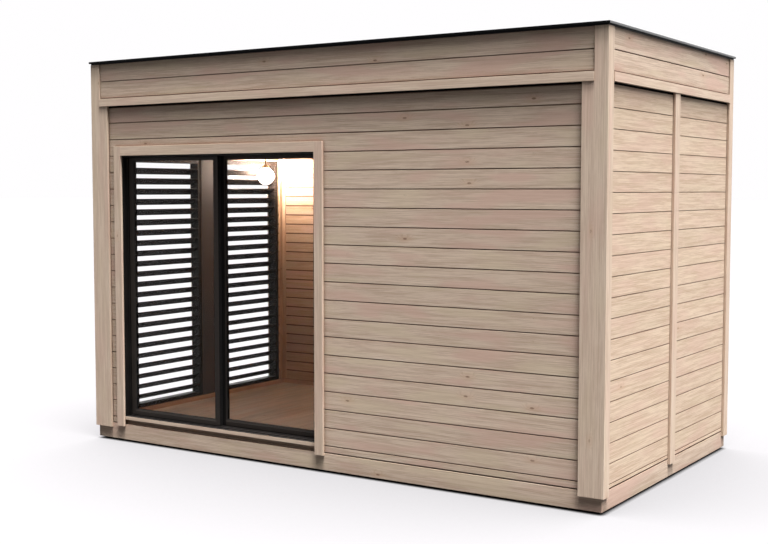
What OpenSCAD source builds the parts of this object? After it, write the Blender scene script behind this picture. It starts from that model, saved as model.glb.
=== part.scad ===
// Flat-roofed timber sauna cabin with a two-leaf sliding glass door.
// Front faces -Y, +X to the right, +Z up, origin at the bottom centre, millimetres.

/* [Overall] */
// Width over the corner boards
cabin_w = 4200; // [3600:10:5200]
// Depth over the corner boards
cabin_d = 2300; // [2100:10:3000]
// Height of the top of the fascia above the ground
fascia_top = 2856; // [2760:1:3100]

/* [Ground supports] */
// Height of the packers under the bearers
packer_h = 8; // [5:1:20]
// Width of one packer, along the front
packer_w = 55; // [30:1:90]
// Length of one packer, front to back
packer_l = 80; // [40:1:90]
// Gap between the two packers of a pair
packer_gap = 35; // [15:1:60]
// Number of packer pairs under each bearer
packer_pairs = 5; // [3:1:7]
// Distance from a bearer's end to the middle of its last pair
packer_inset = 140; // [100:1:300]
// Width of a bearer
bearer_w = 95; // [90:1:150]
// Height of a bearer
bearer_h = 52; // [40:1:70]

/* [Base and floor] */
// Height of the underside of the base boards
base_bottom = 16; // [10:1:40]
// Height of the top of the base boards
base_top = 142; // [125:1:160]
// Thickness of the base boards
base_t = 28; // [20:1:40]
// Thickness of the floor boards
floor_t = 18; // [12:1:30]

/* [Walls] */
// Thickness of the walls, cladding and lining included
wall_t = 122; // [110:1:150]
// Thickness of the boards that cover the corners and joints
cover_t = 18; // [12:1:28]
// Thickness of the ceiling panel
ceiling_t = 20; // [12:1:30]

/* [Corner boards] */
// Width of a corner board on the front and back
corner_w = 165; // [120:1:200]
// Width of a corner board above the fascia's lower edge
corner_top_w = 88; // [60:1:110]
// Width of a corner board on the side walls
corner_side_w = 83; // [50:1:110]
// Height of the lower ends of the corner boards and side battens
cover_bottom = 101; // [80:1:120]
// Width of the vertical batten in the middle of each side wall
batten_w = 90; // [60:1:140]

/* [Fascia] */
// Height of the fascia, its lower strip included
fascia_h = 315; // [250:1:340]
// Height of the strip along the fascia's lower edge
strip_h = 56; // [40:1:80]
// How far that strip stands in front of the corner boards
strip_proud = 5; // [2:1:8]
// Thickness of the fascia boards
fascia_t = 20; // [15:1:28]
// How far the fascia boards lie behind the corner boards' faces
fascia_recess = 8; // [3:1:12]

/* [Roof] */
// Thickness of the roof covering
roof_cover_t = 30; // [15:1:50]
// Height of the metal edge trim
edge_h = 23; // [15:1:40]
// How far the edge trim overhangs the corner boards
edge_out = 10; // [6:1:20]
// Width of the edge trim seen from above
edge_w = 90; // [60:1:160]

/* [Doorway] */
// Distance from the left corner to the doorway
door_left = 297; // [260:1:420]
// Width of the doorway
door_w = 1800; // [1500:10:2000]
// Height of the door's and windows' heads
head_z = 2168; // [2050:1:2250]
// Height of the door sill and of the window sills
sill_z = 196; // [190:1:230]
// Thickness of the timber sill board
sill_t = 26; // [16:1:28]
// How far the sill board stands in front of the cladding
sill_out = 4; // [2:1:10]
// How far the threshold lies behind the cladding
threshold_in = 22; // [10:1:24]
// Width of the trim boards round the doorway
trim_w = 70; // [50:1:90]
// Height of the lower ends of the door's side trims
trim_bottom = 117; // [105:1:140]

/* [Door frame] */
// Thickness of the metal lining round the doorway
lining_t = 10; // [6:1:16]
// Distance from the corner boards' faces back to the tracks
track_y = 50; // [40:1:60]
// Width of the jamb blocks that the leaves close on
jamb_block = 18; // [10:1:30]
// Height of the front track's floor above the sill board
front_track_h = 8; // [4:1:14]
// How much higher the rear track's floor lies
rear_step = 0; // [0:1:36]
// Depth of the front track
front_track_d = 46; // [44:1:50]
// Height of the ribs that guide the leaves
rib_h = 5; // [5:1:10]
// Width of those ribs
rib_w = 6; // [4:1:10]

/* [Sliding leaves] */
// Thickness of a leaf
leaf_t = 34; // [26:1:35]
// Gap in front of each leaf in its track
leaf_gap = 6; // [5:1:8]
// Gap at the end of each leaf when it is closed
leaf_end_gap = 6; // [5:1:10]
// How far the closed leaves overlap in the middle
leaf_overlap = 20; // [5:1:60]
// Running clearance between a leaf and the ribs
run_gap = 0.3; // [0.2:0.1:1]
// Width of a leaf's stiles
stile_w = 45; // [30:1:70]
// Height of a leaf's top rail
top_rail_h = 22; // [16:1:60]
// Height of a leaf's bottom rail
bottom_rail_h = 40; // [34:1:100]
// Thickness of the glass units
glass_t = 20; // [6:1:24]

/* [Side windows] */
// Width of the wall between each window and the room's corner
window_pier = 60; // [40:5:160]
// Width of the wall between the two windows
window_mid = 150; // [140:10:260]
// How far a window frame lies behind the outer face of the wall
window_set = 42; // [10:1:50]
// Width of a window frame's side and top members
window_face = 40; // [20:1:60]
// Height of a window frame's bottom member
window_foot = 30; // [16:1:40]
// Number of louvre blades in a window
blade_count = 23; // [18:1:24]
// Thickness of a louvre blade
blade_t = 8; // [5:1:12]
// Angle at which the blades slope down to the outside
blade_angle = 36; // [30:1:45]
// Height from the bottom member to the middle of the lowest blade
blade_foot = 51; // [42:1:80]
// Height from the middle of the highest blade to the top member
blade_head = 67; // [42:1:80]
// How far the blades lie behind the wall's inner face
blade_set = 2.5; // [1:0.5:8]
// Thickness of the windows' glass
pane_t = 6; // [4:1:12]
// Distance from the frame's outer face to the glass
glass_in = 3; // [2:1:12]
// Clearance between the glass and the blades
blade_gap = 3; // [2:1:12]

/* [Lamp] */
// Diameter of the lamp's globe
lamp_d = 140; // [80:5:150]
// Diameter of the lamp's stem
lamp_stem_d = 12; // [8:1:20]
// Height of the middle of the globe
lamp_z = 2030; // [1980:5:2200]
// Distance from the left wall's inner face to the middle of the lamp
lamp_side = 80; // [80:10:600]
// Distance from the back wall's inner face to the middle of the lamp
lamp_back = 330; // [100:10:1200]

/* [Hidden] */
$fn = 48;

// Outer faces of the corner boards
left_x = -cabin_w / 2;
right_x = cabin_w / 2;
front_y = -cabin_d / 2;
back_y = cabin_d / 2;

// Walls: distance from the corner boards' faces to the inner faces
wall_in = cover_t + wall_t;
fascia_bottom = fascia_top - fascia_h;
wall_top = fascia_bottom + strip_h;
ceiling_z = wall_top - ceiling_t;
floor_z = base_top + floor_t;
base_in = cover_t + base_t;
bearer_top = packer_h + bearer_h;
roof_in = fascia_recess + fascia_t;

// Doorway
door_x0 = left_x + door_left;
door_x1 = door_x0 + door_w;
lining_x0 = door_x0 + lining_t;
lining_x1 = door_x1 - lining_t;
clear_x0 = lining_x0 + jamb_block;
clear_x1 = lining_x1 - jamb_block;
lining_y0 = front_y + cover_t;
frame_y0 = front_y + track_y;
frame_y1 = front_y + wall_in;
rear_track_y = frame_y0 + front_track_d;
head_under = head_z - lining_t;
trim_top = head_z + trim_w;

// Leaves
leaf_w = (clear_x1 - clear_x0 - 2 * leaf_end_gap + leaf_overlap) / 2;
leaf_travel = clear_x1 - clear_x0 - 2 * leaf_end_gap - leaf_w;
leaf_top = head_under - rib_h - run_gap;
front_leaf_x = clear_x0 + leaf_end_gap;
front_leaf_y = frame_y0 + leaf_gap;
front_leaf_z = sill_z + front_track_h + rib_h + run_gap;
rear_leaf_x = clear_x1 - leaf_end_gap - leaf_w;
rear_leaf_y = rear_track_y + leaf_gap;
rear_track_z = sill_z + front_track_h + rear_step;
rear_leaf_z = rear_track_z + rib_h + run_gap;

// Side windows, counted from the front
window_w = (cabin_d - window_mid) / 2 - wall_in - window_pier;
window_y = [-window_mid / 2 - window_w, window_mid / 2];
window_x1 = left_x + wall_in;
window_out = left_x + cover_t + window_set;
light_z0 = sill_z + window_foot;
light_z1 = head_z - window_face;
blade_pitch = (light_z1 - light_z0 - blade_foot - blade_head) / (blade_count - 1);
blade_x0 = window_out + glass_in + pane_t + blade_gap;
blade_x1 = window_x1 - blade_set;
blade_w = (blade_x1 - blade_x0 - blade_t * sin(blade_angle)) / cos(blade_angle);

// How far a cut runs past a face, and a blade into its frame
cut = 1;

// Colours
clad_colour = "#b7a48d";
pale_colour = "#c4b19a";
dark_colour = "#2b2826";
glass_colour = "#8fa0a0";

// A block between two corners
module block(low, high) {
    translate(low)
        cube(high - low);
}

// Two copies, one on each side of the plane that the vector v crosses
module both(v) {
    children();
    mirror(v)
        children();
}

module packers() {
    first = left_x + base_in + packer_inset;
    pitch = -2 * first / (packer_pairs - 1);
    color(dark_colour)
        for (row = bearer_rows(), i = [0 : packer_pairs - 1], side = [-1, 1])
            translate([first + i * pitch + side * (packer_gap + packer_w) / 2, row, packer_h / 2])
                cube([packer_w, packer_l, packer_h], center = true);
}

// Middle lines of the three bearers, front to back
function bearer_rows() = [front_y + base_in + bearer_w / 2, 0, back_y - base_in - bearer_w / 2];

module ground_bearers() {
    color(dark_colour)
        for (row = bearer_rows())
            block([left_x + base_in, row - bearer_w / 2, packer_h],
                  [right_x - base_in, row + bearer_w / 2, bearer_top]);
}

module floor_frame() {
    color("#8c7355")
        block([left_x + base_in, front_y + base_in, bearer_top],
              [right_x - base_in, back_y - base_in, base_top]);
}

module floor_boards() {
    color("#7a5f4c")
        block([left_x + wall_in, front_y + wall_in, base_top],
              [right_x - wall_in, back_y - wall_in, floor_z]);
}

module base_boards_front_back() {
    color(clad_colour)
        both([0, 1, 0])
            block([left_x + cover_t, front_y + cover_t, base_bottom],
                  [right_x - cover_t, front_y + base_in, base_top]);
}

module base_boards_sides() {
    color(clad_colour)
        both([1, 0, 0])
            block([left_x + cover_t, front_y + base_in, base_bottom],
                  [left_x + base_in, back_y - base_in, base_top]);
}

// A stretch of the front wall
module front_wall(x0, x1, z0) {
    color(clad_colour)
        block([x0, front_y + cover_t, z0], [x1, front_y + wall_in, wall_top]);
}

module front_wall_left() {
    front_wall(left_x + cover_t, door_x0, base_top);
}

module front_wall_right() {
    front_wall(door_x1, right_x - cover_t, base_top);
}

module front_wall_head() {
    front_wall(door_x0, door_x1, head_z);
}

module back_wall() {
    color(clad_colour)
        block([left_x + cover_t, back_y - wall_in, base_top],
              [right_x - cover_t, back_y - cover_t, wall_top]);
}

module right_wall() {
    color(clad_colour)
        block([right_x - wall_in, front_y + wall_in, base_top],
              [right_x - cover_t, back_y - wall_in, wall_top]);
}

// A stretch of the left wall
module left_wall(y0, y1, z0, z1) {
    color(clad_colour)
        block([left_x + cover_t, y0, z0], [left_x + wall_in, y1, z1]);
}

module left_wall_piers() {
    both([0, 1, 0])
        left_wall(front_y + wall_in, window_y[0], sill_z, head_z);
    left_wall(window_y[0] + window_w, window_y[1], sill_z, head_z);
}

module left_wall_head() {
    left_wall(front_y + wall_in, back_y - wall_in, head_z, wall_top);
}

module left_wall_sill() {
    left_wall(front_y + wall_in, back_y - wall_in, base_top, sill_z);
}

// Corner board at the front left, notched at the top for the fascia
module corner_board() {
    color(pale_colour) {
        block([left_x, front_y, cover_bottom], [left_x + corner_w, front_y + cover_t, fascia_bottom]);
        block([left_x, front_y, cover_bottom], [left_x + corner_top_w, front_y + cover_t, fascia_top]);
        block([left_x, front_y, cover_bottom], [left_x + cover_t, front_y + corner_side_w, fascia_top]);
    }
}

module corner_front_left() {
    corner_board();
}

module corner_front_right() {
    mirror([1, 0, 0])
        corner_board();
}

module corner_back_left() {
    mirror([0, 1, 0])
        corner_board();
}

module corner_back_right() {
    rotate([0, 0, 180])
        corner_board();
}

module side_battens() {
    color(pale_colour)
        both([1, 0, 0])
            block([left_x, -batten_w / 2, cover_bottom], [left_x + cover_t, batten_w / 2, fascia_bottom]);
}

module fascia_front_back() {
    color(clad_colour)
        both([0, 1, 0])
            block([left_x + corner_top_w, front_y + fascia_recess, wall_top],
                  [right_x - corner_top_w, front_y + roof_in, fascia_top]);
}

module fascia_sides() {
    color(clad_colour)
        both([1, 0, 0])
            block([left_x + fascia_recess, front_y + corner_side_w, wall_top],
                  [left_x + roof_in, back_y - corner_side_w, fascia_top]);
}

module strip_front_back() {
    color(pale_colour)
        both([0, 1, 0])
            block([left_x + corner_top_w, front_y - strip_proud, fascia_bottom],
                  [right_x - corner_top_w, front_y + cover_t, wall_top]);
}

module strip_sides() {
    color(pale_colour)
        both([1, 0, 0])
            block([left_x - strip_proud, front_y + corner_side_w, fascia_bottom],
                  [left_x + cover_t, back_y - corner_side_w, wall_top]);
}

module ceiling() {
    color(pale_colour)
        block([left_x + wall_in, front_y + wall_in, ceiling_z],
              [right_x - wall_in, back_y - wall_in, wall_top]);
}

module roof_frame() {
    color("#9c8467")
        block([left_x + roof_in, front_y + roof_in, wall_top],
              [right_x - roof_in, back_y - roof_in, fascia_top - roof_cover_t]);
}

module roof_cover() {
    color("#3a3b3c")
        block([left_x + roof_in, front_y + roof_in, fascia_top - roof_cover_t],
              [right_x - roof_in, back_y - roof_in, fascia_top]);
}

module roof_edge_front_back() {
    color("#1b1b1c")
        both([0, 1, 0])
            block([left_x - edge_out, front_y - edge_out, fascia_top],
                  [right_x + edge_out, front_y - edge_out + edge_w, fascia_top + edge_h]);
}

module roof_edge_sides() {
    color("#1b1b1c")
        both([1, 0, 0])
            block([left_x - edge_out, front_y - edge_out + edge_w, fascia_top],
                  [left_x - edge_out + edge_w, back_y + edge_out - edge_w, fascia_top + edge_h]);
}

module door_threshold() {
    color(clad_colour)
        block([door_x0, front_y + cover_t + threshold_in, base_top], [door_x1, frame_y1, sill_z - sill_t]);
}

module door_sill() {
    color(pale_colour)
        block([door_x0, front_y + cover_t - sill_out, sill_z - sill_t], [door_x1, frame_y1, sill_z]);
}

module door_trim_sides() {
    color(pale_colour)
        for (x = [door_x0 - trim_w, door_x1])
            block([x, front_y, trim_bottom], [x + trim_w, front_y + cover_t, trim_top]);
}

module door_trim_head() {
    color(pale_colour)
        block([door_x0, front_y, head_z], [door_x1, front_y + cover_t, trim_top]);
}

module door_frame_jambs() {
    color(dark_colour) {
        block([door_x0, lining_y0, sill_z], [lining_x0, frame_y1, head_z]);
        block([door_x0, frame_y0, sill_z], [clear_x0, frame_y1, head_z]);
        block([lining_x1, lining_y0, sill_z], [door_x1, frame_y1, head_z]);
        block([clear_x1, frame_y0, sill_z], [door_x1, frame_y1, head_z]);
    }
}

// A guide rib along the doorway, centred on a leaf
module rib(leaf_y, z) {
    block([clear_x0, leaf_y + (leaf_t - rib_w) / 2, z], [clear_x1, leaf_y + (leaf_t + rib_w) / 2, z + rib_h]);
}

module door_frame_head() {
    color(dark_colour) {
        block([lining_x0, lining_y0, head_under], [lining_x1, frame_y0, head_z]);
        block([clear_x0, lining_y0, head_under], [clear_x1, frame_y1, head_z]);
        rib(front_leaf_y, head_under - rib_h);
        rib(rear_leaf_y, head_under - rib_h);
    }
}

module door_frame_sill() {
    color(dark_colour) {
        block([clear_x0, frame_y0, sill_z], [clear_x1, frame_y1, sill_z + front_track_h]);
        block([clear_x0, rear_track_y, sill_z], [clear_x1, frame_y1, rear_track_z]);
        rib(front_leaf_y, sill_z + front_track_h);
        rib(rear_leaf_y, rear_track_z);
    }
}

module leaf_stiles(x, y, z) {
    color(dark_colour)
        for (side = [0, leaf_w - stile_w])
            block([x + side, y, z], [x + side + stile_w, y + leaf_t, leaf_top]);
}

module leaf_rails(x, y, z) {
    color(dark_colour) {
        block([x + stile_w, y, z], [x + leaf_w - stile_w, y + leaf_t, z + bottom_rail_h]);
        block([x + stile_w, y, leaf_top - top_rail_h], [x + leaf_w - stile_w, y + leaf_t, leaf_top]);
    }
}

module leaf_glass(x, y, z) {
    color(glass_colour, 0.35)
        block([x + stile_w, y + (leaf_t - glass_t) / 2, z + bottom_rail_h],
              [x + leaf_w - stile_w, y + (leaf_t + glass_t) / 2, leaf_top - top_rail_h]);
}

module front_leaf_stiles() {
    leaf_stiles(front_leaf_x, front_leaf_y, front_leaf_z);
}

module front_leaf_rails() {
    leaf_rails(front_leaf_x, front_leaf_y, front_leaf_z);
}

module front_leaf_glass() {
    leaf_glass(front_leaf_x, front_leaf_y, front_leaf_z);
}

module rear_leaf_stiles() {
    leaf_stiles(rear_leaf_x, rear_leaf_y, rear_leaf_z);
}

module rear_leaf_rails() {
    leaf_rails(rear_leaf_x, rear_leaf_y, rear_leaf_z);
}

module rear_leaf_glass() {
    leaf_glass(rear_leaf_x, rear_leaf_y, rear_leaf_z);
}

// A window frame with the glass at its outer side and a row of sloping blades inside
module louvre(y) {
    color(dark_colour) {
        difference() {
            block([window_out, y, sill_z], [window_x1, y + window_w, head_z]);
            block([window_out - cut, y + window_face, light_z0],
                  [window_x1 + cut, y + window_w - window_face, light_z1]);
        }
        for (i = [0 : blade_count - 1])
            translate([(blade_x0 + blade_x1) / 2, y + window_w / 2, light_z0 + blade_foot + i * blade_pitch])
                rotate([0, -blade_angle, 0])
                    cube([blade_w, window_w - 2 * window_face + 2 * cut, blade_t], center = true);
    }
}

module louvre_front() {
    louvre(window_y[0]);
}

module louvre_back() {
    louvre(window_y[1]);
}

module window_glass() {
    color(glass_colour, 0.35)
        for (y = window_y)
            block([window_out + glass_in, y + window_face, light_z0],
                  [window_out + glass_in + pane_t, y + window_w - window_face, light_z1]);
}

module pendant_lamp() {
    color("#fff1d6")
        translate([left_x + wall_in + lamp_side, back_y - wall_in - lamp_back, lamp_z]) {
            sphere(d = lamp_d);
            cylinder(h = ceiling_z - lamp_z, d = lamp_stem_d);
        }
}

packers();
ground_bearers();
floor_frame();
floor_boards();
base_boards_front_back();
base_boards_sides();
front_wall_left();
front_wall_right();
front_wall_head();
back_wall();
right_wall();
left_wall_piers();
left_wall_head();
left_wall_sill();
corner_front_left();
corner_front_right();
corner_back_left();
corner_back_right();
side_battens();
fascia_front_back();
fascia_sides();
strip_front_back();
strip_sides();
ceiling();
roof_frame();
roof_cover();
roof_edge_front_back();
roof_edge_sides();
door_threshold();
door_sill();
door_trim_sides();
door_trim_head();
door_frame_jambs();
door_frame_head();
door_frame_sill();
front_leaf_stiles();
front_leaf_rails();
front_leaf_glass();
rear_leaf_stiles();
rear_leaf_rails();
rear_leaf_glass();
louvre_front();
louvre_back();
window_glass();
pendant_lamp();
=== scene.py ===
import math
import bmesh
import bpy
import numpy as np
from mathutils import Euler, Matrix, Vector


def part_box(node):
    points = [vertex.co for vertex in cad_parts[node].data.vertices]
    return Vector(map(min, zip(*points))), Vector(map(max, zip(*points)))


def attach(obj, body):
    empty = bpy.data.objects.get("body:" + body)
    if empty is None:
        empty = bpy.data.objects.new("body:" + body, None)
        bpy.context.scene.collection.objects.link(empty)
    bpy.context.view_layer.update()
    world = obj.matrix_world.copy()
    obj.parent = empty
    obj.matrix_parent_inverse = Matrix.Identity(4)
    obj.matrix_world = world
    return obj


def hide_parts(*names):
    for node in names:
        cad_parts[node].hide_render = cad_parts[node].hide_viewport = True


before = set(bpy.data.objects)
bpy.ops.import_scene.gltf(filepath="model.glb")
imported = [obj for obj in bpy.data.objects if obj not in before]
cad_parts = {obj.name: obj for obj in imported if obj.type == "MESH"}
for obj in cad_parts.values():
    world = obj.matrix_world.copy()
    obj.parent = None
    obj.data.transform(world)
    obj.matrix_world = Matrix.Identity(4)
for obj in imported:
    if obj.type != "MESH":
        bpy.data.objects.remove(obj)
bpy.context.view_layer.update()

scene = bpy.context.scene
scene.view_settings.view_transform = "Standard"
scene.cycles.transparent_max_bounces = 24  # both leaves and a window can stand one behind the other


def linear(hexColour):
    # sRGB hex to the linear values that Blender works in
    parts = [int(hexColour[i:i + 2], 16) / 255 for i in (1, 3, 5)]
    return [c / 12.92 if c <= 0.04045 else ((c + 0.055) / 1.055) ** 2.4 for c in parts] + [1.0]


def nodeAdder(tree):
    # gives the function that adds a node to this tree; an input takes a value, a socket or a whole node
    def add(kind, inputs=None, operation=None, **fields):
        made = tree.nodes.new(kind if "Node" in kind else "ShaderNode" + kind)
        if operation:
            made.operation = operation
        for key, value in fields.items():
            setattr(made, key, value)
        for key, value in (inputs or {}).items():
            if isinstance(value, bpy.types.Node):
                value = next(out for out in value.outputs if out.enabled)
            if isinstance(value, bpy.types.NodeSocket):
                tree.links.new(value, made.inputs[key])
            else:
                made.inputs[key].default_value = value
        return made
    return add


# fields that many nodes share
eased, inColour = {"interpolation_type": "SMOOTHSTEP"}, {"data_type": "RGBA"}


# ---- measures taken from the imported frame, in metres
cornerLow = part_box("corner_front_left")[0]
leftX, frontY = cornerLow.x, cornerLow.y
wallLow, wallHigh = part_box("front_wall_left")
claddingY, innerY, wallTop = wallLow.y, wallHigh.y, wallHigh.z
claddingX, innerX = wallLow.x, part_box("left_wall_piers")[1].x
coverThick = claddingY - frontY
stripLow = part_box("strip_front_back")[0]
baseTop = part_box("base_boards_front_back")[1].z
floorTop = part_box("floor_boards")[1].z
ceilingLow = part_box("ceiling")[0].z
doorLow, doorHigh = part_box("door_frame_jambs")
windows = [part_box(name) for name in ("louvre_front", "louvre_back")]


# ---- mesh helpers
def meshFrom(name, build):
    shape = bmesh.new()
    build(shape)
    mesh = bpy.data.meshes.new(name)
    shape.to_mesh(mesh)
    shape.free()
    return mesh


def addObject(name, data):
    obj = bpy.data.objects.new(name, data)
    scene.collection.objects.link(obj)
    return obj


def addBuilt(name, build):
    return addObject(name, meshFrom(name, build))


def easeEdges(shape, edges, width):
    bmesh.ops.bevel(shape, geom=edges, offset=width, segments=2, profile=0.5, affect="EDGES", clamp_overlap=True)


def skin(shape, a, b):
    # the faces between two rings of vertices
    return [shape.faces.new((p, q, s, r)) for p, q, r, s in zip(a, a[1:] + a[:1], b, b[1:] + b[:1])]


def addPrism(shape, outline, axis, start, end, bevel=0.0015):
    # outline holds the two other coordinates in x, y, z order
    rings = []
    for level in (start, end):
        places = [[a, b] for a, b in outline]
        for place in places:
            place.insert(axis, level)
        rings.append([shape.verts.new(place) for place in places])
    faces = [shape.faces.new(ring) for ring in rings] + skin(shape, *rings)
    bmesh.ops.recalc_face_normals(shape, faces=faces)
    if bevel:
        easeEdges(shape, list(dict.fromkeys(e for f in faces for e in f.edges)), bevel)


def addBlock(shape, low, high, bevel=0.0015):
    addPrism(shape, [(low[0], low[1]), (high[0], low[1]), (high[0], high[1]), (low[0], high[1])],
             2, low[2], high[2], bevel)


def addRing(shape, outline, low, high, axis):
    # a closed section swept round a rectangle with mitred corners: outline holds (inset, level) points
    rings = []
    for endA, endB in ((0, 0), (1, 0), (1, 1), (0, 1)):
        ring = []
        for inset, level in outline:
            place = [b - inset if end else a + inset for end, a, b in zip((endA, endB), low, high)]
            place.insert(axis, level)
            ring.append(shape.verts.new(place))
        rings.append(ring)
    faces = [face for i in range(4) for face in skin(shape, rings[i - 1], rings[i])]
    bmesh.ops.recalc_face_normals(shape, faces=faces)


def addLathe(shape, profile, centre, segments=48):
    # profile holds (radius, height) points from the bottom to the top, closed on the axis at both ends
    rings = []
    for radius, height in profile:
        turn = [2 * math.pi * i / segments for i in range(segments)] if radius else [0]
        rings.append([shape.verts.new((centre[0] + radius * math.cos(t), centre[1] + radius * math.sin(t),
                                       centre[2] + height)) for t in turn])
    faces = []
    for a, b in zip(rings, rings[1:]):
        for i in range(segments):
            j = (i + 1) % segments
            corners = [a[i % len(a)], a[j % len(a)], b[j % len(b)], b[i % len(b)]]
            faces.append(shape.faces.new(list(dict.fromkeys(corners))))
    bmesh.ops.recalc_face_normals(shape, faces=faces)
    for face in faces:
        face.smooth = True


def addCopy(shape, node):
    # a CAD solid with its split corners merged
    shape.from_mesh(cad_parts[node].data)
    bmesh.ops.remove_doubles(shape, verts=shape.verts, dist=0.00005)


def softened(name, node, bevel):
    # a cleaned copy of a CAD node with eased edges
    def build(shape):
        addCopy(shape, node)
        bmesh.ops.dissolve_limit(shape, angle_limit=math.radians(1), verts=shape.verts, edges=shape.edges)
        bmesh.ops.recalc_face_normals(shape, faces=shape.faces)
        easeEdges(shape, [e for e in shape.edges if len(e.link_faces) == 2 and e.calc_face_angle() > 0.5], bevel)
    return addBuilt(name, build)


def evaluated(obj):
    depsgraph = bpy.context.evaluated_depsgraph_get()
    mesh = bpy.data.meshes.new_from_object(obj.evaluated_get(depsgraph), depsgraph=depsgraph)
    obj.modifiers.clear()
    obj.data = mesh


def joined(name, parts):
    # one object from several, with their materials kept
    materials = []

    def build(shape):
        for part in parts:
            before = len(shape.faces)
            shape.from_mesh(part.data)
            shape.faces.ensure_lookup_table()
            for face in shape.faces[before:]:
                own = part.data.materials[face.material_index]
                if own not in materials:
                    materials.append(own)
                face.material_index = materials.index(own)
    obj = addBuilt(name, build)
    for material in materials:
        obj.data.materials.append(material)
    for part in parts:
        bpy.data.objects.remove(part)
    return obj


def cutOut(obj, boxes):
    # takes openings out of a run of boards
    for low, high in boxes:
        cutter = addBuilt("cutter", lambda s: addBlock(s, low, high, 0))
        cut = obj.modifiers.new("opening", "BOOLEAN")
        cut.operation, cut.solver, cut.object = "DIFFERENCE", "EXACT", cutter
        evaluated(obj)
        bpy.data.objects.remove(cutter)


def looseParts(mesh):
    # the mesh's points, and for each of them the number of the loose part it belongs to
    points = np.zeros(len(mesh.vertices) * 3)
    mesh.vertices.foreach_get("co", points)
    pairs = np.zeros(len(mesh.edges) * 2, int)
    mesh.edges.foreach_get("vertices", pairs)
    first, second = pairs.reshape(-1, 2).T
    labels = np.arange(len(mesh.vertices))
    while True:
        low = np.minimum(labels[first], labels[second])
        fresh = labels.copy()
        np.minimum.at(fresh, first, low)
        np.minimum.at(fresh, second, low)
        fresh = fresh[fresh]
        if (fresh == labels).all():
            return points.reshape(-1, 3), labels
        labels = fresh


def layGrain(mesh, seed, knots=None, grooved=False):
    # each loose board gets its own grain coordinates: x along it, y and z from its middle;
    # on a grooved board, what lies behind its face is marked, so that painted shade can darken the joints there
    points, labels = looseParts(mesh)
    count = len(labels)
    random = np.random.default_rng(seed)
    grain, tone, groove = np.zeros((count, 3)), np.zeros(count), np.zeros(count)
    for label in np.unique(labels):
        own = labels == label
        low, high = points[own].min(0), points[own].max(0)
        order = np.argsort(low - high)  # longest side first
        middle = (low + high) / 2
        draw = random.random(2)
        shift = math.floor(draw[0] * 40) * knots[0] - knots[1] if knots else draw[0] * 20
        grain[own, 0] = points[own, order[0]] + shift
        grain[own, 1] = points[own, order[1]] - middle[order[1]]
        grain[own, 2] = points[own, order[2]] - middle[order[2]]
        tone[own] = draw[1]
        if grooved:
            groove[own] = np.clip((0.93 - 2 * abs(grain[own, 2]) / (high - low)[order[2]]) / 0.07, 0, 1)
    mesh.attributes.new("grain", "FLOAT_VECTOR", "POINT").data.foreach_set("vector", grain.ravel())
    mesh.attributes.new("tone", "FLOAT", "POINT").data.foreach_set("value", tone)
    mesh.attributes.new("groove", "FLOAT", "POINT").data.foreach_set("value", groove)


def finishPiece(obj, material, slot, nodes=(), seed=None, body="cabin", knots=None, grooved=False):
    # without a material the piece keeps its own, and with a seed it gets wood grain
    if material is not None:
        obj.data.materials.clear()
        obj.data.materials.append(material)
    if seed is not None:
        layGrain(obj.data, seed, knots, grooved)
    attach(obj, body)
    if nodes:
        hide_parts(*nodes)


# ---- one tree lays copies of a part in a straight row
rowInputs = {"Part": "NodeSocketObject", "Finish": "NodeSocketMaterial", "Count": "NodeSocketInt",
             "Start": "NodeSocketVector", "Pitch": "NodeSocketVector"}
rowTree = bpy.data.node_groups.new("evenRow", "GeometryNodeTree")
rowTree.interface.new_socket("Row", in_out="OUTPUT", socket_type="NodeSocketGeometry")
for inputName, socketType in rowInputs.items():
    rowTree.interface.new_socket(inputName, in_out="INPUT", socket_type=socketType)
add = nodeAdder(rowTree)
given = add("NodeGroupInput").outputs
line = add("GeometryNodeMeshLine", {"Count": given["Count"], "Start Location": given["Start"],
                                    "Offset": given["Pitch"]}, mode="OFFSET")
source = add("GeometryNodeObjectInfo", {"Object": given["Part"]})
copies = add("GeometryNodeInstanceOnPoints", {"Points": line, "Instance": source.outputs["Geometry"]})
solid = add("GeometryNodeRealizeInstances", {"Geometry": copies})
painted = add("GeometryNodeSetMaterial", {"Geometry": solid, "Material": given["Finish"]})
add("NodeGroupOutput", {0: painted})
rowSockets = {item.name: item.identifier for item in rowTree.interface.items_tree if item.in_out == "INPUT"}


def row(name, part, finish, count, start, pitch):
    # part is a mesh drawn round the origin
    pattern = addObject(name + "_pattern", part)
    obj = addObject(name, bpy.data.meshes.new(name))
    modifier = obj.modifiers.new("row", "NODES")
    modifier.node_group = rowTree
    for key, value in zip(rowInputs, (pattern, finish, count, start, pitch)):
        modifier[rowSockets[key]] = value
    evaluated(obj)
    bpy.data.objects.remove(pattern)
    return obj


# ---- camera, studio and lamps
cameraLook = {"place": (4.8968, -7.7532, 1.9147), "turn": 33.2805, "tilt": -3.8538, "lens": 57.30}
cameraData = bpy.data.cameras.new("camera")
cameraData.sensor_width, cameraData.lens = 36.0, cameraLook["lens"]
camera = addObject("camera", cameraData)
camera.location = cameraLook["place"]
camera.rotation_euler = Euler((math.radians(90 + cameraLook["tilt"]), 0, math.radians(cameraLook["turn"])))
scene.camera = camera

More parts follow.
